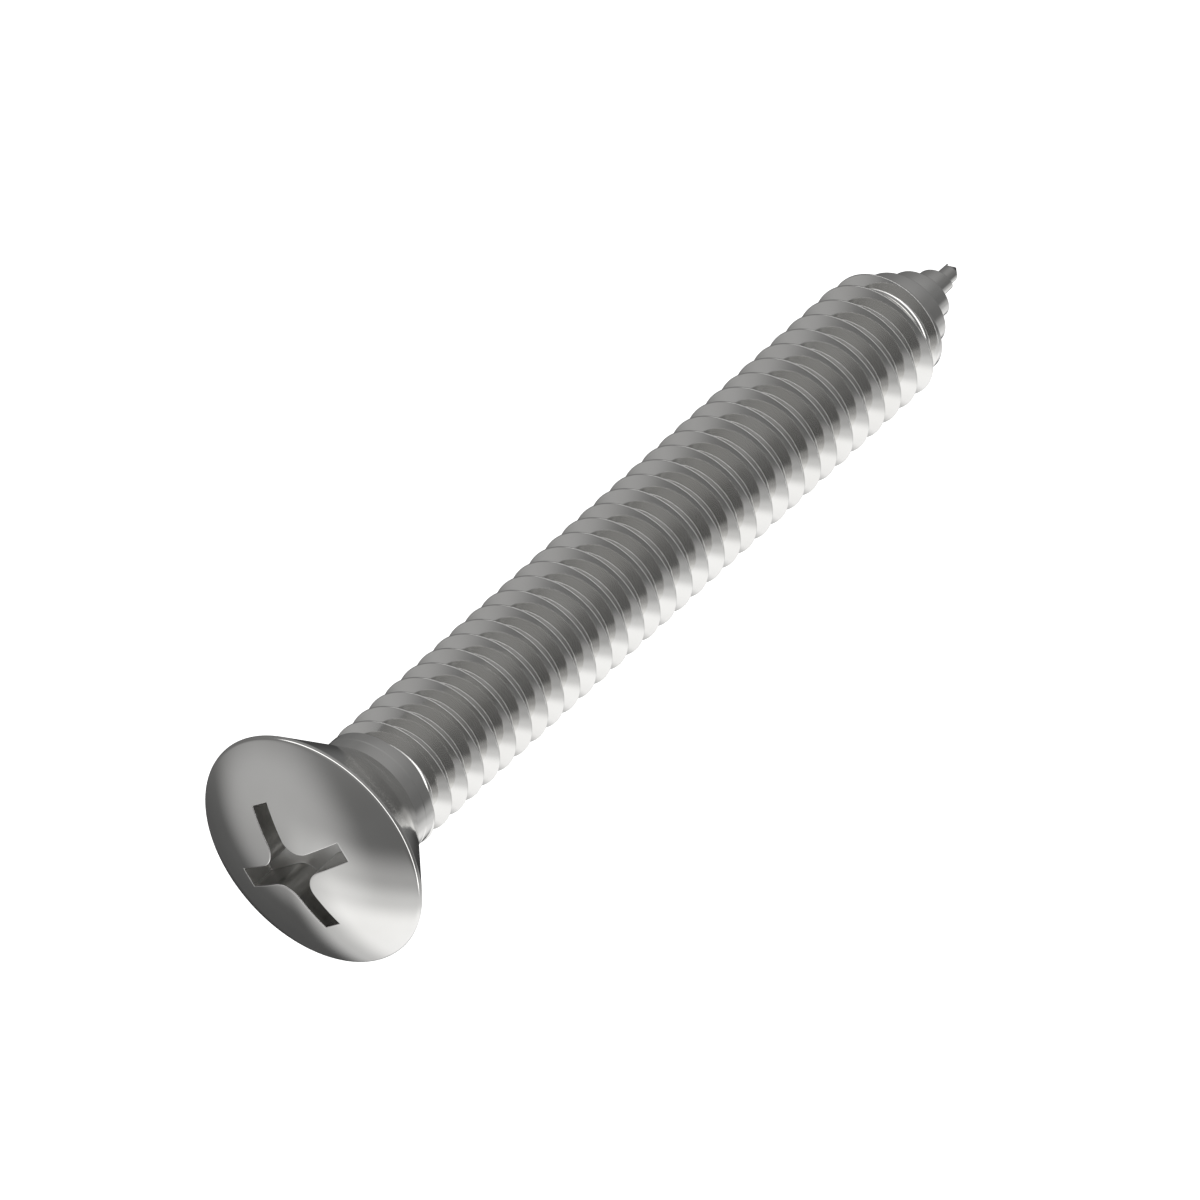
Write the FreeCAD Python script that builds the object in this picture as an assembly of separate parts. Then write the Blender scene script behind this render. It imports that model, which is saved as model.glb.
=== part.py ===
"""Wood screw with a raised countersunk head, a cross recess and a thread that runs to the point.

The frame is in millimetres. The origin is the centre of the head's rim, which lies flush with the
surface that the screw is driven into. +Z points out of the head, towards the driver, and the point
is at -Z. The wings of the recess lie along X and Y. The real screw is one piece of steel, so its
zones are modelled as solids that meet face to face.
"""

import FreeCAD, Part
import math
import os

# ---- driving dimensions, in millimetres and degrees ----
THREAD_DIAMETER = 5.0
CORE_DIAMETER = 3.80
PITCH = 1.00
LENGTH_BELOW_RIM = 40.0

HEAD_DIAMETER = 9.67
DOME_HEIGHT = 1.56
RIM_ROUND = 0.20
RIM_LAND = 0.03
COUNTERSINK_ANGLE = 76.0

NECK_DIAMETER = 4.92
NECK_LENGTH = 0.97
SHOULDER_LENGTH = 0.32

POINT_ANGLE = 58.5
POINT_CORE_LENGTH = 4.55
NIB_DIAMETER = 0.80
NIB_LENGTH = 0.95
NIB_CONE_LENGTH = 0.35
NIB_TIP_DIAMETER = 0.06

RECESS_SPAN = 5.30
RECESS_WING_WIDTH = 0.78
RECESS_CORNER = 0.80
RECESS_DEPTH = 1.55
PUNCH_ABOVE_DOME = 0.5

# ---- the thread's own form ----
CREST_LAND = 0.03
ROOT_GAP = 0.30
FIRST_CREST_AZIMUTH = -72.5
FIRST_CREST_Z = -4.955
RUN_IN_TURNS = 0.24
RUN_IN_GROWTH = 0.24
RUN_OUT_GROWTH = 0.80
THREAD_END_ABOVE_TIP = 0.90
THREAD_START_HEIGHT = 0.02
POINTS_PER_TURN = 32
BASE_STRIPS = 3

CORE_R = CORE_DIAMETER / 2
THREAD_R = THREAD_DIAMETER / 2
HEAD_R = HEAD_DIAMETER / 2
NECK_R = NECK_DIAMETER / 2
NIB_R = NIB_DIAMETER / 2

TIP_Z = -LENGTH_BELOW_RIM
CONE_HEIGHT = (HEAD_R - NECK_R) / math.tan(math.radians(COUNTERSINK_ANGLE / 2))
NECK_TOP = -(RIM_LAND + CONE_HEIGHT)
SHOULDER_TOP = NECK_TOP - NECK_LENGTH
SHANK_TOP = SHOULDER_TOP - SHOULDER_LENGTH
POINT_TOP = TIP_Z + POINT_CORE_LENGTH
NIB_TOP = TIP_Z + NIB_LENGTH


def at(radius, z, azimuth=0.0):
    """The point at this radius, height and azimuth, in radians."""
    return FreeCAD.Vector(radius * math.cos(azimuth), radius * math.sin(azimuth), z)


def line(start, end):
    return Part.LineSegment(start, end).toShape()


def closed_lines(corners):
    """Straight edges from each corner to the next, and from the last back to the first."""
    return [line(a, b) for a, b in zip(corners, corners[1:] + corners[:1])]


def arc(start, middle, end):
    return Part.Arc(start, middle, end).toShape()


def turned(edges):
    """The solid that this closed outline in the XZ plane makes when it turns about Z."""
    face = Part.Face(Part.Wire(edges))
    solid = face.revolve(FreeCAD.Vector(0, 0, 0), FreeCAD.Vector(0, 0, 1), 360)
    return solid if solid.ShapeType == "Solid" else Part.Solid(solid.Shells[0])


# ---- head ----
def dome_sphere():
    """Radius of the dome's sphere, which touches the rim's round, and the height of its centre."""
    reach = HEAD_R - RIM_ROUND
    rise = DOME_HEIGHT - RIM_ROUND
    radius = (reach**2 + rise**2) / (2 * rise) + RIM_ROUND
    return radius, DOME_HEIGHT - radius


def head_blank():
    """The head as it leaves the header, before the recess: dome, rounded rim, land and cone."""
    radius, centre_z = dome_sphere()
    meets = math.atan2(HEAD_R - RIM_ROUND, -centre_z)

    def on_dome(angle):
        return at(radius * math.sin(angle), centre_z + radius * math.cos(angle))

    def on_rim(angle):
        return at(HEAD_R - RIM_ROUND + RIM_ROUND * math.sin(angle), RIM_ROUND * math.cos(angle))

    right_angle = math.pi / 2
    outline = [
        arc(on_dome(0), on_dome(meets / 2), on_dome(meets)),
        arc(on_dome(meets), on_rim((meets + right_angle) / 2), at(HEAD_R, 0)),
        line(at(HEAD_R, 0), at(HEAD_R, -RIM_LAND)),
        line(at(HEAD_R, -RIM_LAND), at(NECK_R, NECK_TOP)),
        line(at(NECK_R, NECK_TOP), at(0, NECK_TOP)),
        line(at(0, NECK_TOP), on_dome(0)),
    ]
    return turned(outline)


def cross_outline(half_span, width, corner, z):
    """A cross with square wing ends and rounded inner corners, as a closed wire at height z."""
    half = width / 2
    reach = half + corner
    bulge = half + corner * (1 - math.sqrt(0.5))
    edges = []
    for quarter in range(4):
        turn = quarter * math.pi / 2

        def placed(along, across, turn=turn):
            x = along * math.cos(turn) - across * math.sin(turn)
            y = along * math.sin(turn) + across * math.cos(turn)
            return FreeCAD.Vector(x, y, z)

        edges += [
            line(placed(half_span, -half), placed(half_span, half)),
            line(placed(half_span, half), placed(reach, half)),
            arc(placed(reach, half), placed(bulge, bulge), placed(half, reach)),
            line(placed(half, reach), placed(half, half_span)),
        ]
    return Part.Wire(edges)


def recess_punch():
    """The punch that leaves the cross recess: straight walls down to a flat floor."""
    floor_z = DOME_HEIGHT - RECESS_DEPTH
    outline = cross_outline(RECESS_SPAN / 2, RECESS_WING_WIDTH, RECESS_CORNER, floor_z)
    height = RECESS_DEPTH + PUNCH_ABOVE_DOME
    return Part.Face(outline).extrude(FreeCAD.Vector(0, 0, height))


def head():
    return head_blank().cut(recess_punch())


# ---- neck, shank and point: the core that the thread stands on ----
def neck():
    """The plain neck under the head, and the shoulder that falls from it to the core."""
    corners = [
        at(0, NECK_TOP),
        at(NECK_R, NECK_TOP),
        at(NECK_R, SHOULDER_TOP),
        at(CORE_R, SHANK_TOP),
        at(0, SHANK_TOP),
    ]
    return turned(closed_lines(corners))


def shank():
    """The straight core of the threaded length."""
    return Part.makeCylinder(CORE_R, SHANK_TOP - POINT_TOP, FreeCAD.Vector(0, 0, POINT_TOP))


def point():
    """The core's cone, the slender nib that it ends in, and the nib's own short cone."""
    nib_cone_top = TIP_Z + NIB_CONE_LENGTH
    corners = [
        at(0, POINT_TOP),
        at(CORE_R, POINT_TOP),
        at(NIB_R, NIB_TOP),
        at(NIB_R, nib_cone_top),
        at(NIB_TIP_DIAMETER / 2, TIP_Z),
        at(0, TIP_Z),
    ]
    return turned(closed_lines(corners))


# ---- thread ----
def core_radius(z):
    """Radius of the core at height z, from the shank to the nib."""
    if z >= POINT_TOP:
        return CORE_R
    if z <= NIB_TOP:
        return NIB_R
    return NIB_R + (CORE_R - NIB_R) * (z - NIB_TOP) / (POINT_TOP - NIB_TOP)


def crest_radius(z):
    """Radius of the crest at height z: the thread's own, then the cone of the point."""
    return min(THREAD_R, (z - TIP_Z) * math.tan(math.radians(POINT_ANGLE / 2)))


def eased(share):
    """A smooth rise from 0 to 1."""
    share = max(0.0, min(1.0, share))
    return share * share * (3 - 2 * share)


def thread_section(turns, last_turn):
    """The ridge's section after this many turns, as (radius, z) from the head's side round to the base."""
    z = FIRST_CREST_Z + (RUN_IN_TURNS - turns) * PITCH
    grown = eased(turns / RUN_IN_GROWTH) * eased((last_turn - turns) / RUN_OUT_GROWTH)
    rise = max(crest_radius(z) - core_radius(z), 0.0) * grown
    crest = core_radius(z) + max(rise, THREAD_START_HEIGHT)
    foot = PITCH - ROOT_GAP
    bottom = z - foot / 2
    base = [bottom + foot * k / BASE_STRIPS for k in range(BASE_STRIPS + 1)]
    crests = [(crest, z + CREST_LAND / 2), (crest, z - CREST_LAND / 2)]
    return crests + [(core_radius(b), b) for b in base]


def helix_edge(corner, first, last, last_turn):
    """The curve that one corner of the section follows between two turn counts."""
    count = max(4, round((last - first) * POINTS_PER_TURN))
    turns = [first + (last - first) * k / count for k in range(count + 1)]

    def place(turn):
        radius, z = thread_section(turn, last_turn)[corner]
        azimuth = math.radians(FIRST_CREST_AZIMUTH) + 2 * math.pi * (RUN_IN_TURNS - turn)
        return at(radius, z, azimuth)

    def heading(turn):
        step = 1e-5
        return (place(turn + step) - place(turn - step)) * (0.5 / step)

    curve = Part.BSplineCurve()
    curve.interpolate(
        Points=[place(t) for t in turns],
        Parameters=turns,
        InitialTangent=heading(first),
        FinalTangent=heading(last),
    )
    return curve.toShape()


def thread():
    """The helical ridge: flanks, crest and base as ruled faces, turn by turn, with two end caps."""
    end_z = TIP_Z + THREAD_END_ABOVE_TIP
    last_turn = RUN_IN_TURNS + (FIRST_CREST_Z - end_z) / PITCH
    whole = math.floor(last_turn)
    stops = [float(k) for k in range(whole + 1)] + [last_turn]
    faces = []
    ends = []
    for first, last in zip(stops, stops[1:]):
        corners = len(thread_section(first, last_turn))
        rails = [helix_edge(k, first, last, last_turn) for k in range(corners)]
        for a, b in zip(rails, rails[1:] + rails[:1]):
            faces.append(Part.makeRuledSurface(a, b))
        ends.append(rails)
    for rails, end in ((ends[0], 0), (ends[-1], -1)):
        corners = [rail.Vertexes[end].Point for rail in rails]
        faces.append(Part.Face(Part.makePolygon(corners + corners[:1])))
    shell = Part.makeShell(faces)
    shell.sewShape(1e-5)
    solid = Part.Solid(shell)
    if solid.Volume < 0:
        solid.reverse()
    return solid


PIECES = {"head": head, "neck": neck, "shank": shank, "thread": thread, "point": point}


def main():
    os.makedirs("parts", exist_ok=True)
    for name, make in PIECES.items():
        shape = make()
        solids = shape.Solids
        shape = solids[0] if len(solids) == 1 else Part.makeCompound(solids)
        shape.exportStep(f"parts/{name}.step")
        print(name, "solids", len(solids), "valid", shape.isValid(), "volume", round(shape.Volume, 3))


main()
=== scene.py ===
"""Wood screw, polished stainless steel: raised countersunk head, cross recess, helical thread to the point.

Every size is in metres in the CAD's frame: origin at the centre of the head's widest circle, +Z out
of the head, the point at -Z. The pieces are closed meshes built from profiles, one for each CAD node.
"""

import math

import bpy
import numpy as np
from mathutils import Matrix, Vector


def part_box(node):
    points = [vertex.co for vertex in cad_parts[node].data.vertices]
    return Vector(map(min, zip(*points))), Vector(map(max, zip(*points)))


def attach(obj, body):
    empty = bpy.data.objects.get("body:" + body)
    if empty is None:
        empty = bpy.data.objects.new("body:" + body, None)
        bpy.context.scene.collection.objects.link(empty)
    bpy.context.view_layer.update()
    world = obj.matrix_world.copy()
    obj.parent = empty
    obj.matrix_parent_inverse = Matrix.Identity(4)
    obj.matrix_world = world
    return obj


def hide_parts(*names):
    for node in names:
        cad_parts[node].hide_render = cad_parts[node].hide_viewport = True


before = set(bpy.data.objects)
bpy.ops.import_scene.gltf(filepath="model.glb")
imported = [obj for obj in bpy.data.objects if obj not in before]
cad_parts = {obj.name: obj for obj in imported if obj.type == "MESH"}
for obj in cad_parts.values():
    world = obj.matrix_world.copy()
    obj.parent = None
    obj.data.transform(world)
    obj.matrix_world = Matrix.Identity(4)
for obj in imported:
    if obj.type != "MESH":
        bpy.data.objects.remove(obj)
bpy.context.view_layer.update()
MM = 0.001

# ---- sizes read from the CAD ----
HEAD_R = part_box("head")[1].x
NECK_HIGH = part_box("neck")[1]
SHANK_LOW, SHANK_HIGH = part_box("shank")
THREAD_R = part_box("thread")[1].x
POINT_LOW, POINT_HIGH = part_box("point")

NECK_R = NECK_HIGH.x
NECK_TOP = NECK_HIGH.z
CORE_R = SHANK_HIGH.x
SHANK_TOP = SHANK_HIGH.z
TIP_Z = POINT_LOW.z

# ---- head ----
DOME_HEIGHT = 1.56 * MM
RIM_ROUND = 0.20 * MM
RIM_LAND = 0.03 * MM
RIM_EDGE = 0.035 * MM

RECESS_SPAN = 5.30 * MM
RECESS_WING = 0.78 * MM
RECESS_CORNER = 0.80 * MM
RECESS_DEPTH = 1.55 * MM
RECESS_EDGE = 0.035 * MM
RECESS_FOOT = 0.03 * MM

# ---- neck: its ends reach a little way into the head and the shank ----
SHOULDER_TOP = SHANK_TOP + 0.32 * MM
SHOULDER_FOOT_ROUND = 0.05 * MM
NECK_EDGE = 0.03 * MM
NECK_STEP_Z = NECK_TOP - 0.55 * MM
NECK_STEP = 0.015 * MM
NECK_STEP_LENGTH = 0.05 * MM
NECK_STEP_ROUND = 0.03 * MM
NECK_INSET = 0.02 * MM
NECK_END_ROUND = 0.01 * MM

# ---- thread: lengths along the axis, then counts of turns ----
PITCH = 1.0 * MM
RIDGE_FOOT = 0.70 * MM
CREST_LAND = 0.05 * MM
CREST_ROUND = 0.045 * MM
ROOT_ROUND = 0.07 * MM
RIDGE_APRON = 0.03 * MM
RIDGE_SINK = 0.06 * MM
LEAST_RISE = 0.01 * MM
LEAST_LAND_RISE = 0.004 * MM
FIRST_CREST_Z = -4.955 * MM
CREST_AZIMUTH = math.radians(-72.5)
TURNS_ABOVE_FIRST_CREST = 1.05
GROWS_OVER = 0.5
STARTS_GROWN = 0.4
FADES_OVER = 0.6

# ---- point ----
POINT_ANGLE = 58.5
POINT_CONE = math.tan(math.radians(POINT_ANGLE / 2))
POINT_LAND = 0.62 * MM
POINT_TIP_FLANK = 0.10 * MM
LAND_STEP = 0.02 * MM
MORPH_FROM = TIP_Z + 4.15 * MM
MORPH_LENGTH = 0.75 * MM
THREAD_END = 0.30 * MM
POINT_CORE_ROUND = 0.3 * MM
NIB_CREST_R = 0.46 * MM
NIB_R = 0.33 * MM
NIB_TIP_R = 0.03 * MM
NIB_CONE = 0.36 * MM
NIB_ROUND = 0.08 * MM

# ---- how finely the meshes are divided ----
AROUND = 256
STEPS_PER_TURN = 160
ROUND_STEPS = 5
POINT_ROUND_STEPS = 6
RIM_EDGE_STEPS = 4
SHANK_LEVELS = 60
RIM_POINTS = 9
CONE_ROWS = 24
DOME_RINGS = 40
WING_END_POINTS = 12
WING_SIDE_POINTS = 28
WING_CORNER_POINTS = 24
FOOT_RINGS = 4
EDGE_RINGS = 5
FLOOR_SHARES = (0.08, 0.3, 0.6, 0.9)
WALL_SHARES = (0.15, 0.35, 0.6, 0.85, 1.0)
DOME_SPREAD = 0.85
LARGEST_CUT = 0.49
HEAD_SHARP_ANGLE = math.radians(38)
THREAD_SHARP_ANGLE = math.radians(50)

# ---- steel: colours are linear, noise scales are per metre ----
STAINED_STEEL = (0.715, 0.708, 0.690, 1)
CLEAN_STEEL = (0.755, 0.750, 0.735, 1)
STAIN_EDGES = (0.3, 0.7)
STAINS = 420.0
RING_MARKS = 14000.0
NOISE_DETAIL = 3.0
LEAST_ROUGHNESS = 0.07
MOST_ROUGHNESS = 0.14
ROUGHEST_NOISE = 0.5
MARK_STRENGTH = 0.04
MARK_HEIGHT = 0.0004 * MM
# the share by which the steel's colour is made darker inside the recess
RECESS_DARKER_SHARE = 0.12
PUNCHED_ROUGHNESS = 0.22
RECESS_SKIN = 0.02 * MM

# ---- camera and floor ----
FROM_AXIS = math.radians(51.943)
ROLL = math.radians(42.1367)
FRAME_WIDTH = 43.67 * MM
AIM_ALONG = 13.785 * MM
AIM_ASIDE = 0.278 * MM
CAMERA_DISTANCE = 0.3
CLIP_START = 0.001
CLIP_END = 5.0

FLOOR_HALF = 1.2
FLOOR_GAP = 0.002 * MM
FLOOR_WHITE = 0.9
FLOOR_ROUGHNESS = 0.9
FLOOR_GLOW = 0.95

# ---- light: brightness against the cosine from a direction, given as shares of axis, side and top ----
STUDIO_TILT = math.radians(40.6)
ROOM = [(-1.0, 0.09), (-0.7, 0.11), (-0.3, 0.18), (0.0, 0.185), (0.4, 0.22), (1.0, 0.34)]
ROOM_SIDE_FROM = (-0.5, 0.87, 0.0)
ROOM_SIDE = [(-0.8, 0.85), (0.2, 1.05)]
SOFTBOX_HEIGHT = [(0.18, 0.0), (0.50, 0.34), (0.68, 0.66), (0.84, 1.10)]
SOFTBOX_REACH_FROM = (0.17, -0.985, 0.0)
SOFTBOX_REACH = [(-0.39, 0.0), (-0.21, 0.5), (0.01, 0.95), (0.21, 1.0)]
CARD_FROM = (0.76, 0.53, -0.375)
CARD = [(0.72, 0.0), (0.95, 0.30), (1.0, 0.31)]
BACKDROP = [(0.72, 1.0), (0.92, 0.85), (0.98, 0.40)]
EDGE_LIGHT_FRONT = [(-0.10, 0.0), (0.15, 1.0)]
EDGE_LIGHT_ALONG = [(0.05, 0.0), (0.15, 1.7), (0.27, 1.7), (0.38, 0.0)]

AXIS = Vector((0, 0, 1))
LATERAL = Vector((math.cos(CREST_AZIMUTH), math.sin(CREST_AZIMUTH), 0))
SIDE = LATERAL.cross(AXIS)


def smooth(x):
    """A smooth rise from 0 to 1."""
    x = np.clip(x, 0.0, 1.0)
    return x * x * (3 - 2 * x)


# ---- mesh building ----
def mesh_piece(name, node, verts, faces, material):
    """A closed, smooth-shaded piece that stands for this CAD node."""
    mesh = bpy.data.meshes.new(name)
    mesh.from_pydata([tuple(v) for v in verts], [], faces)
    mesh.validate()
    mesh.update()
    piece = bpy.data.objects.new(name, mesh)
    bpy.context.scene.collection.objects.link(piece)
    mesh.materials.append(material)
    mesh.shade_smooth()
    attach(piece, "root")
    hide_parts(node)
    return piece


def ring_faces(start, count, rows):
    """Outward quads between rows of count points each, closed round the ring."""
    faces = []
    for row in range(rows - 1):
        a = start + row * count
        b = a + count
        for k in range(count):
            n = (k + 1) % count
            faces.append((b + k, b + n, a + n, a + k))
    return faces


def rounded(profile, rounds, steps):
    """A profile of (radius, z) corners, with each corner eased over the width of its own round."""
    out = [profile[0]]
    for k in range(1, len(profile) - 1):
        corner = np.array(profile[k], float)
        if rounds[k] <= 0:
            out.append(tuple(corner))
            continue
        before = np.array(profile[k - 1], float) - corner
        after = np.array(profile[k + 1], float) - corner
        reach_before = np.linalg.norm(before)
        reach_after = np.linalg.norm(after)
        before /= reach_before
        after /= reach_after
        half = math.acos(np.clip(before @ after, -1, 1)) / 2
        cut = min(rounds[k] / math.tan(half), reach_before * LARGEST_CUT, reach_after * LARGEST_CUT)
        start = corner + before * cut
        end = corner + after * cut
        for s in np.linspace(0, 1, steps + 1):
            out.append(tuple((1 - s) ** 2 * start + 2 * s * (1 - s) * corner + s * s * end))
    out.append(profile[-1])
    return out


def revolved(profile):
    """Points and outward faces of a profile turned about Z; it runs down from the axis back to the axis."""
    angles = np.arange(AROUND) * 2 * math.pi / AROUND
    verts = [(0, 0, profile[0][1])]
    for radius, z in profile[1:-1]:
        verts += [(radius * math.cos(a), radius * math.sin(a), z) for a in angles]
    verts.append((0, 0, profile[-1][1]))
    faces = ring_faces(1, AROUND, len(profile) - 2)
    last = len(verts) - 1
    foot = last - AROUND
    for k in range(AROUND):
        n = (k + 1) % AROUND
        faces.append((1 + k, 1 + n, 0))
        faces.append((foot + n, foot + k, last))
    return verts, faces


# ---- head ----
def dome_sphere():
    """Radius of the dome's sphere, which touches the rim's round, and the height of its centre."""
    reach = HEAD_R - RIM_ROUND
    rise = DOME_HEIGHT - RIM_ROUND
    radius = (reach**2 + rise**2) / (2 * rise) + RIM_ROUND
    return radius, DOME_HEIGHT - radius


def dome_z(radius):
    sphere, centre = dome_sphere()
    return centre + np.sqrt(sphere**2 - radius**2)


def cross_loop(grow):
    """The recess's outline as (x, y) points, grown outwards by this much; the count never changes."""
    half = RECESS_WING / 2 + grow
    span = RECESS_SPAN / 2 + grow
    corner = RECESS_CORNER - grow
    centre = half + corner
    quarter = []
    for s in np.linspace(-1, 1, WING_END_POINTS, endpoint=False):
        quarter.append((span, s * half))
    for s in np.linspace(0, 1, WING_SIDE_POINTS, endpoint=False):
        quarter.append((span + (centre - span) * s, half))
    for a in np.linspace(0, math.pi / 2, WING_CORNER_POINTS, endpoint=False):
        quarter.append((centre - corner * math.sin(a), centre - corner * math.cos(a)))
    for s in np.linspace(0, 1, WING_SIDE_POINTS, endpoint=False):
        quarter.append((half, centre + (span - centre) * s))
    loop = []
    for turn in range(4):
        c = math.cos(turn * math.pi / 2)
        s = math.sin(turn * math.pi / 2)
        loop += [(x * c - y * s, x * s + y * c) for x, y in quarter]
    return np.array(loop)


def raised(loop, heights):
    """A ring of (x, y, z) points: this loop at these heights, or all of it at one height."""
    return np.column_stack([loop, np.broadcast_to(heights, len(loop))])


def recess_rings():
    """Rings from the recess's floor up its walls and over the small edge at its mouth."""
    floor = DOME_HEIGHT - RECESS_DEPTH
    inner = cross_loop(-RECESS_FOOT)
    rings = [raised(inner * share, floor) for share in FLOOR_SHARES]
    for a in np.linspace(0, math.pi / 2, FOOT_RINGS):
        loop = cross_loop(-RECESS_FOOT * (1 - math.sin(a)))
        rings.append(raised(loop, floor + RECESS_FOOT * (1 - math.cos(a))))
    walls = cross_loop(0)
    mouth = dome_z(np.linalg.norm(walls, axis=1)) - RECESS_EDGE
    base = floor + RECESS_FOOT
    for share in WALL_SHARES:
        rings.append(raised(walls, base + (mouth - base) * share))
    for a in np.linspace(0, math.pi / 2, EDGE_RINGS + 1)[1:]:
        loop = cross_loop(RECESS_EDGE * (1 - math.cos(a)))
        on_dome = dome_z(np.linalg.norm(loop, axis=1))
        rings.append(raised(loop, on_dome - RECESS_EDGE * (1 - math.sin(a))))
    return rings


def dome_rings(rim_r):
    """Rings from the recess's edge out to the rim, where their points are spread more evenly."""
    edge = cross_loop(RECESS_EDGE)
    start_r = np.linalg.norm(edge, axis=1)
    angles = np.unwrap(np.arctan2(edge[:, 1], edge[:, 0]))
    even = np.linspace(angles[0], angles[0] + 2 * math.pi, len(angles), endpoint=False)
    rings = []
    for share in np.arange(1, DOME_RINGS + 1) / DOME_RINGS:
        radius = start_r + (rim_r - start_r) * share
        spread = smooth(share) * DOME_SPREAD
        turn = angles + (even - angles) * spread
        loop = np.column_stack([radius * np.cos(turn), radius * np.sin(turn)])
        rings.append(raised(loop, dome_z(radius)))
    return rings


def rim_profile():
    """The head's outline from the dome's edge, round the rim and down the cone to the neck."""
    sphere, centre = dome_sphere()
    meets = math.atan2(HEAD_R - RIM_ROUND, -centre)
    points = []
    for a in np.linspace(meets, math.pi / 2, RIM_POINTS):
        points.append((HEAD_R - RIM_ROUND + RIM_ROUND * math.sin(a), RIM_ROUND * math.cos(a)))
    corners = [points[-1], (HEAD_R, -RIM_LAND), (NECK_R, NECK_TOP)]
    points += rounded(corners, [0, RIM_EDGE, 0], RIM_EDGE_STEPS)[1:-1]
    start_r, start_z = points[-1]
    for share in np.arange(1, CONE_ROWS + 1) / CONE_ROWS:
        points.append((start_r + (NECK_R - start_r) * share, start_z + (NECK_TOP - start_z) * share))
    return points


def rim_rings(last, profile):
    """Rings that carry the dome's last ring on along this profile."""
    turn = np.arctan2(last[:, 1], last[:, 0])
    rings = []
    for radius, z in profile:
        loop = np.column_stack([radius * np.cos(turn), radius * np.sin(turn)])
        rings.append(raised(loop, z))
    return rings


def build_head(material):
    """Rings from the recess's floor over the dome, round the rim and down the cone, closed at both ends."""
    profile = rim_profile()
    rings = recess_rings()
    rings += dome_rings(profile[0][0])
    rings += rim_rings(rings[-1], profile[1:])
    count = len(rings[0])
    verts = [(0, 0, DOME_HEIGHT - RECESS_DEPTH)]
    for ring in rings:
        verts += list(ring)
    verts.append((0, 0, NECK_TOP))
    faces = []
    for row in range(len(rings) - 1):
        a = 1 + row * count
        b = a + count
        for k in range(count):
            n = (k + 1) % count
            faces.append((a + k, b + k, b + n, a + n))
    last = len(verts) - 1
    foot = last - count
    for k in range(count):
        n = (k + 1) % count
        faces.append((0, 1 + k, 1 + n))
        faces.append((last, foot + n, foot + k))
    piece = mesh_piece("screw_head", "head", verts, faces, material)
    piece.data.set_sharp_from_angle(angle=HEAD_SHARP_ANGLE)


# ---- neck ----
def build_neck(material):
    """The plain collar: a slightly proud band at its foot, a softened edge, and the shoulder to the core."""
    waist = NECK_R - NECK_STEP
    corners = [
        (0, NECK_TOP + NECK_INSET),
        (waist - NECK_INSET, NECK_TOP + NECK_INSET),
        (waist, NECK_TOP),
        (waist, NECK_STEP_Z + NECK_STEP_LENGTH),
        (NECK_R, NECK_STEP_Z),
        (NECK_R, SHOULDER_TOP),
        (CORE_R, SHANK_TOP),
        (CORE_R - NECK_INSET, SHANK_TOP - NECK_INSET),
        (0, SHANK_TOP - NECK_INSET),
    ]
    rounds = [
        0,
        NECK_END_ROUND,
        NECK_END_ROUND,
        NECK_STEP_ROUND,
        NECK_STEP_ROUND,
        NECK_EDGE,
        SHOULDER_FOOT_ROUND,
        0,
        0,
    ]
    verts, faces = revolved(rounded(corners, rounds, ROUND_STEPS))
    mesh_piece("screw_neck", "neck", verts, faces, material)


# ---- the threaded core and its point ----
def core_radius(z):
    """Radius of the core at height z: under the crests' cone by the length of one land."""
    under_land = (z - TIP_Z - POINT_LAND) * POINT_CONE - LAND_STEP
    return np.clip(under_land, NIB_R, CORE_R)


def core_height(radius):
    """Height at which the point's core has this radius."""
    return TIP_Z + POINT_LAND + (radius + LAND_STEP) / POINT_CONE


def build_shank(material):
    levels = np.linspace(SHANK_TOP, SHANK_LOW.z, SHANK_LEVELS)
    profile = [(0, SHANK_TOP)] + [(CORE_R, z) for z in levels] + [(0, SHANK_LOW.z)]
    verts, faces = revolved(profile)
    mesh_piece("screw_shank", "shank", verts, faces, material)


def build_point(material):
    """The core's cone, the slender nib and the nib's own short cone with a blunt end."""
    corners = [
        (0, POINT_HIGH.z),
        (CORE_R, POINT_HIGH.z),
        (CORE_R, core_height(CORE_R)),
        (NIB_R, core_height(NIB_R)),
        (NIB_R, TIP_Z + NIB_CONE),
        (NIB_TIP_R, TIP_Z + NIB_TIP_R / 3),
        (0, TIP_Z),
    ]
    rounds = [0, 0, POINT_CORE_ROUND, POINT_CORE_ROUND, NIB_ROUND, 0, 0]
    verts, faces = revolved(rounded(corners, rounds, POINT_ROUND_STEPS))
    mesh_piece("screw_point", "point", verts, faces, material)


# ---- thread ----
def crest_radius(z):
    """Radius of the crest at height z: the thread's own, the cone of the point, then the nib."""
    return min(THREAD_R, max((z - TIP_Z) * POINT_CONE, NIB_CREST_R))


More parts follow.
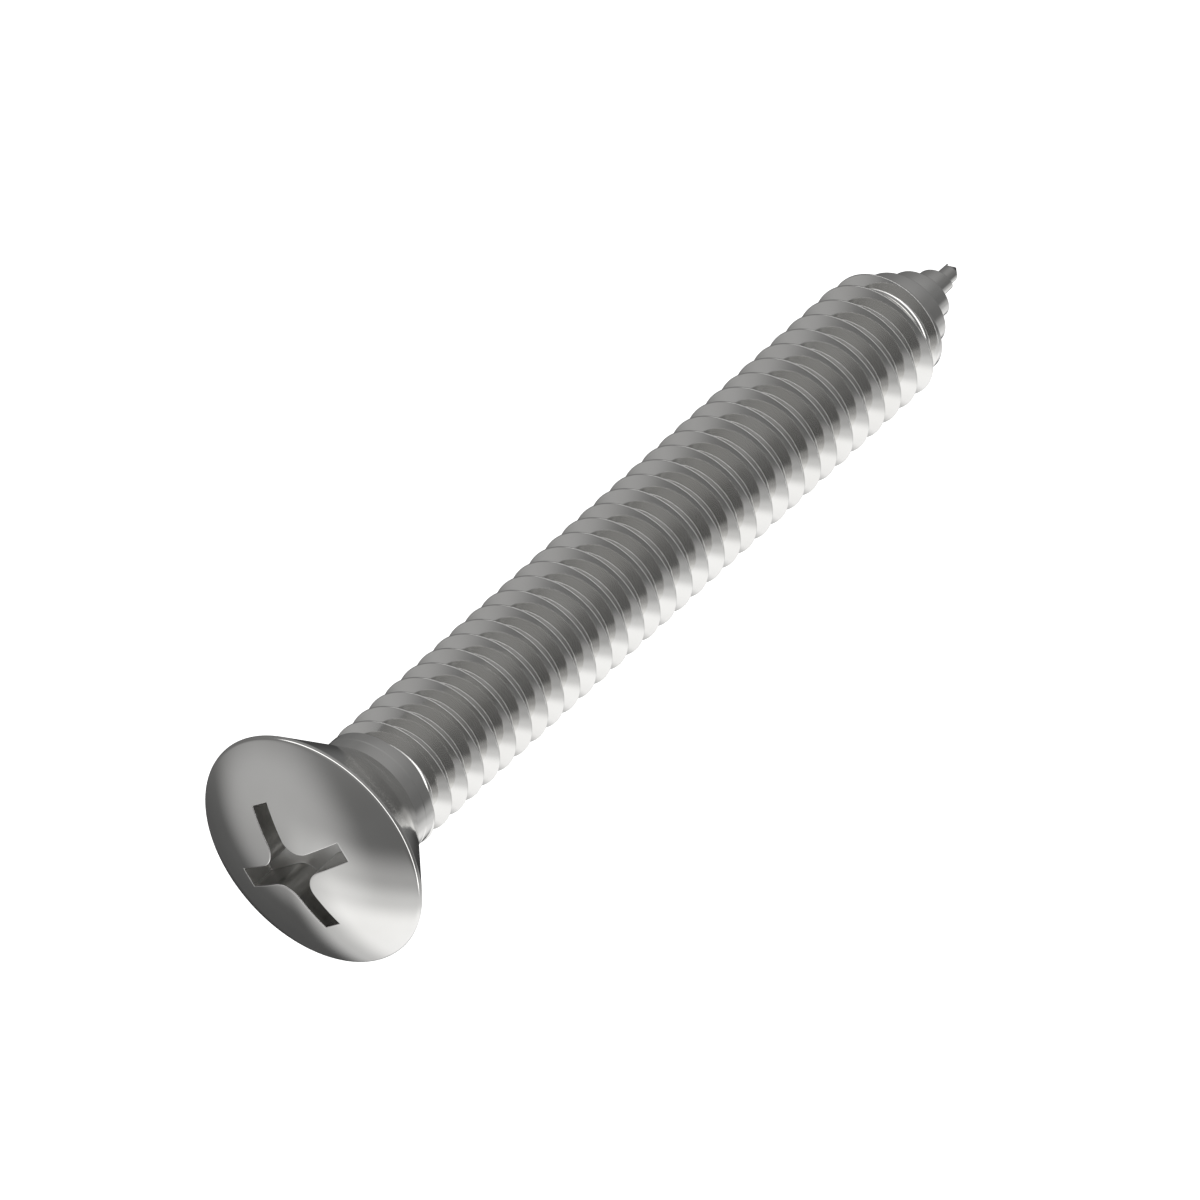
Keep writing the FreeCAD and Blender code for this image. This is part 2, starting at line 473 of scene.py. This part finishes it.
def ridge_section(z, grown):
    """The ridge's closed section about its crest at height z, as (radius, z) points.

    On the shank it is a sharp 60 degree ridge with filleted feet. Over the point it gains a wide land,
    as the dies press the metal there, and its head side keeps the same slope.
    """
    land = smooth((MORPH_FROM - z) / MORPH_LENGTH)
    half = RIDGE_FOOT / 2
    crest_up = CREST_LAND / 2 + (POINT_LAND - CREST_LAND / 2) * land
    tip_foot = half + (CREST_LAND / 2 + POINT_TIP_FLANK - half) * land

    def core(dz):
        return core_radius(z + dz)

    crest = max(crest_radius(z), core(0) + LEAST_RISE)
    top = core(0) + (crest - core(0)) * grown
    top_up = max(top, core(crest_up) + LEAST_LAND_RISE)
    steepness = (half - CREST_LAND / 2) / (THREAD_R - CORE_R)
    head_foot = crest_up + steepness * (top_up - core(crest_up))
    head_apron = head_foot + RIDGE_APRON
    tip_apron = tip_foot + RIDGE_APRON
    corners = [
        (core(head_apron) - RIDGE_SINK, z + head_apron),
        (core(head_apron), z + head_apron),
        (core(head_foot), z + head_foot),
        (top_up, z + crest_up),
        (top, z - CREST_LAND / 2),
        (core(-tip_foot), z - tip_foot),
        (core(-tip_apron), z - tip_apron),
        (core(-tip_apron) - RIDGE_SINK, z - tip_apron),
    ]
    rounds = [0, 0, ROOT_ROUND, CREST_ROUND, CREST_ROUND, ROOT_ROUND, 0, 0]
    return rounded(corners, rounds, ROUND_STEPS)


def build_thread(material):
    """The helical ridge, from inside the neck's shoulder down to the nib."""
    first = -TURNS_ABOVE_FIRST_CREST
    last = (FIRST_CREST_Z - (TIP_Z + THREAD_END)) / PITCH
    count = int((last - first) * STEPS_PER_TURN)
    rings = []
    for turn in np.linspace(first, last, count + 1):
        z = FIRST_CREST_Z - turn * PITCH
        azimuth = CREST_AZIMUTH - 2 * math.pi * turn
        grown = smooth((turn - first) / GROWS_OVER + STARTS_GROWN) * smooth((last - turn) / FADES_OVER)
        c = math.cos(azimuth)
        s = math.sin(azimuth)
        rings.append([(r * c, r * s, level) for r, level in ridge_section(z, grown)])
    width = len(rings[0])
    verts = [p for ring in rings for p in ring]
    faces = ring_faces(0, width, len(rings))
    faces.append(tuple(range(width)))
    faces.append(tuple(reversed(range(len(verts) - width, len(verts)))))
    piece = mesh_piece("screw_thread", "thread", verts, faces, material)
    piece.data.set_sharp_from_angle(angle=THREAD_SHARP_ANGLE)


# ---- material ----
def steel_material():
    """Polished stainless steel: faint rings left by turning and rolling, soft stains, a rougher recess whose
    colour is made darker.
    """
    material = bpy.data.materials.new("polished_stainless")
    material.use_nodes = True
    nodes = material.node_tree.nodes
    links = material.node_tree.links
    shader = nodes["Principled BSDF"]
    shader.inputs["Metallic"].default_value = 1.0
    place = nodes.new("ShaderNodeTexCoord").outputs["Object"]

    def calc(operation, *values):
        """One step of arithmetic on outputs and plain numbers."""
        node = nodes.new("ShaderNodeMath")
        node.operation = operation
        for socket, value in zip(node.inputs, values):
            if isinstance(value, bpy.types.NodeSocket):
                links.new(value, socket)
            else:
                socket.default_value = value
        return node.outputs["Value"]

    def noise(vector, scale):
        node = nodes.new("ShaderNodeTexNoise")
        node.inputs["Scale"].default_value = scale
        node.inputs["Detail"].default_value = NOISE_DETAIL
        links.new(vector, node.inputs["Vector"])
        return node.outputs["Fac"]

    split = nodes.new("ShaderNodeSeparateXYZ")
    links.new(place, split.inputs["Vector"])
    height = split.outputs["Z"]
    flat = nodes.new("ShaderNodeCombineXYZ")
    links.new(split.outputs["X"], flat.inputs["X"])
    links.new(split.outputs["Y"], flat.inputs["Y"])
    length = nodes.new("ShaderNodeVectorMath")
    length.operation = "LENGTH"
    links.new(flat.outputs["Vector"], length.inputs[0])
    radius = length.outputs["Value"]
    ring = nodes.new("ShaderNodeCombineXYZ")
    links.new(radius, ring.inputs["X"])
    links.new(height, ring.inputs["Z"])
    marks = noise(ring.outputs["Vector"], RING_MARKS)
    stains = noise(place, STAINS)

    sphere, centre = dome_sphere()
    from_centre = nodes.new("ShaderNodeVectorMath")
    from_centre.operation = "DISTANCE"
    from_centre.inputs[1].default_value = (0, 0, centre)
    links.new(place, from_centre.inputs[0])
    # a mask of the recess: it makes the colour darker there and the surface rougher
    under_dome = calc("LESS_THAN", from_centre.outputs["Value"], sphere - RECESS_SKIN)
    near_axis = calc("LESS_THAN", radius, RECESS_SPAN / 2 + RECESS_SKIN)
    over_rim = calc("GREATER_THAN", height, -RECESS_SKIN)
    in_recess = calc("MULTIPLY", calc("MULTIPLY", under_dome, near_axis), over_rim)

    colour = nodes.new("ShaderNodeValToRGB")
    for element, edge, shade in zip(colour.color_ramp.elements, STAIN_EDGES, (STAINED_STEEL, CLEAN_STEEL)):
        element.position = edge
        element.color = shade
    links.new(stains, colour.inputs["Fac"])
    # the colour is made darker by a share inside the recess
    darkened_in_recess = nodes.new("ShaderNodeVectorMath")
    darkened_in_recess.operation = "SCALE"
    links.new(colour.outputs["Color"], darkened_in_recess.inputs[0])
    links.new(calc("MULTIPLY_ADD", in_recess, -RECESS_DARKER_SHARE, 1.0), darkened_in_recess.inputs["Scale"])
    links.new(darkened_in_recess.outputs["Vector"], shader.inputs["Base Color"])

    rough = nodes.new("ShaderNodeMapRange")
    rough.inputs["From Max"].default_value = ROUGHEST_NOISE
    rough.inputs["To Min"].default_value = LEAST_ROUGHNESS
    rough.inputs["To Max"].default_value = MOST_ROUGHNESS
    links.new(calc("MULTIPLY", stains, marks), rough.inputs["Value"])
    worn = calc("MULTIPLY_ADD", in_recess, PUNCHED_ROUGHNESS, rough.outputs["Result"])
    links.new(worn, shader.inputs["Roughness"])

    bump = nodes.new("ShaderNodeBump")
    bump.inputs["Strength"].default_value = MARK_STRENGTH
    bump.inputs["Distance"].default_value = MARK_HEIGHT
    below_rim = calc("LESS_THAN", height, 0.0)
    links.new(calc("MULTIPLY", marks, below_rim), bump.inputs["Height"])
    links.new(bump.outputs["Normal"], shader.inputs["Normal"])
    return material


# ---- camera, floor and light ----
def build_camera():
    """The camera looks down on the head's side, with the screw's axis rising to the upper right."""
    toward = AXIS * math.cos(FROM_AXIS) + LATERAL * math.sin(FROM_AXIS)
    along = LATERAL * math.cos(FROM_AXIS) - AXIS * math.sin(FROM_AXIS)
    right = along * math.cos(ROLL) + SIDE * math.sin(ROLL)
    up = along * math.sin(ROLL) - SIDE * math.cos(ROLL)
    aim = along * AIM_ALONG + SIDE * AIM_ASIDE
    data = bpy.data.cameras.new("camera")
    data.type = "ORTHO"
    data.ortho_scale = FRAME_WIDTH
    data.clip_start = CLIP_START
    data.clip_end = CLIP_END
    camera = bpy.data.objects.new("camera", data)
    bpy.context.scene.collection.objects.link(camera)
    turn = Matrix((right, up, toward)).transposed().to_4x4()
    camera.matrix_world = Matrix.Translation(aim + toward * CAMERA_DISTANCE) @ turn
    bpy.context.scene.camera = camera
    return up, toward


def build_floor():
    """A white floor just under the tip; the steel doesn't mirror it."""
    z = TIP_Z - FLOOR_GAP
    half = FLOOR_HALF
    corners = [(-half, -half, z), (half, -half, z), (half, half, z), (-half, half, z)]
    mesh = bpy.data.meshes.new("floor")
    mesh.from_pydata(corners, [], [(0, 1, 2, 3)])
    floor = bpy.data.objects.new("floor", mesh)
    bpy.context.scene.collection.objects.link(floor)
    material = bpy.data.materials.new("floor_white")
    material.use_nodes = True
    shader = material.node_tree.nodes["Principled BSDF"]
    shader.inputs["Base Color"].default_value = (FLOOR_WHITE, FLOOR_WHITE, FLOOR_WHITE, 1)
    shader.inputs["Roughness"].default_value = FLOOR_ROUGHNESS
    shader.inputs["Specular IOR Level"].default_value = 0.0
    shader.inputs["Emission Color"].default_value = (1, 1, 1, 1)
    shader.inputs["Emission Strength"].default_value = FLOOR_GLOW
    mesh.materials.append(material)
    floor.visible_glossy = False


def build_world(up, toward):
    """A soft studio: a white box below, a dim room, a grey card and a darker backdrop behind the screw.

    The edge light is narrow. It stands clear of what the dome, the shank's core and its flanks mirror,
    also after one more bounce off a flank or the head's cone, and shows mostly on rounded edges.
    """
    top = (up * math.cos(STUDIO_TILT) + toward * math.sin(STUDIO_TILT)).normalized()
    side = AXIS.cross(top).normalized()
    front = (toward - AXIS * toward.dot(AXIS)).normalized()
    world = bpy.data.worlds.new("studio")
    bpy.context.scene.world = world
    world.use_nodes = True
    nodes = world.node_tree.nodes
    links = world.node_tree.links
    where = nodes.new("ShaderNodeTexCoord").outputs["Generated"]

    def studio(shares):
        """The direction with these shares of axis, side and top."""
        on_axis, on_side, on_top = shares
        return AXIS * on_axis + side * on_side + top * on_top

    def seen_from(direction, stops):
        """Brightness by the cosine between a ray and this direction."""
        dot = nodes.new("ShaderNodeVectorMath")
        dot.operation = "DOT_PRODUCT"
        dot.inputs[1].default_value = direction.normalized()
        links.new(where, dot.inputs[0])
        span = nodes.new("ShaderNodeMapRange")
        span.inputs["From Min"].default_value = -1
        links.new(dot.outputs["Value"], span.inputs["Value"])
        ramp = nodes.new("ShaderNodeValToRGB")
        ramp.color_ramp.interpolation = "EASE"
        while len(ramp.color_ramp.elements) < len(stops):
            ramp.color_ramp.elements.new(0.5)
        for element, (cosine, level) in zip(ramp.color_ramp.elements, stops):
            element.position = (cosine + 1) / 2
            element.color = (level, level, level, 1)
        links.new(span.outputs["Result"], ramp.inputs["Fac"])
        return ramp.outputs["Color"]

    def joined(operation, first, second):
        node = nodes.new("ShaderNodeVectorMath")
        node.operation = operation
        links.new(first, node.inputs[0])
        links.new(second, node.inputs[1])
        return node.outputs["Vector"]

    room = joined("MULTIPLY", seen_from(top, ROOM), seen_from(studio(ROOM_SIDE_FROM), ROOM_SIDE))
    reach = seen_from(studio(SOFTBOX_REACH_FROM), SOFTBOX_REACH)
    softbox = joined("MULTIPLY", seen_from(-top, SOFTBOX_HEIGHT), reach)
    card = seen_from(studio(CARD_FROM), CARD)
    edge_light = joined("MULTIPLY", seen_from(front, EDGE_LIGHT_FRONT), seen_from(AXIS, EDGE_LIGHT_ALONG))
    lit = joined("ADD", joined("ADD", room, card), joined("ADD", softbox, edge_light))
    shown = joined("MULTIPLY", lit, seen_from(-toward, BACKDROP))
    links.new(shown, nodes["Background"].inputs["Color"])


def main():
    bpy.context.scene.view_settings.view_transform = "Standard"
    steel = steel_material()
    build_head(steel)
    build_neck(steel)
    build_shank(steel)
    build_thread(steel)
    build_point(steel)
    build_floor()
    up, toward = build_camera()
    build_world(up, toward)


main()
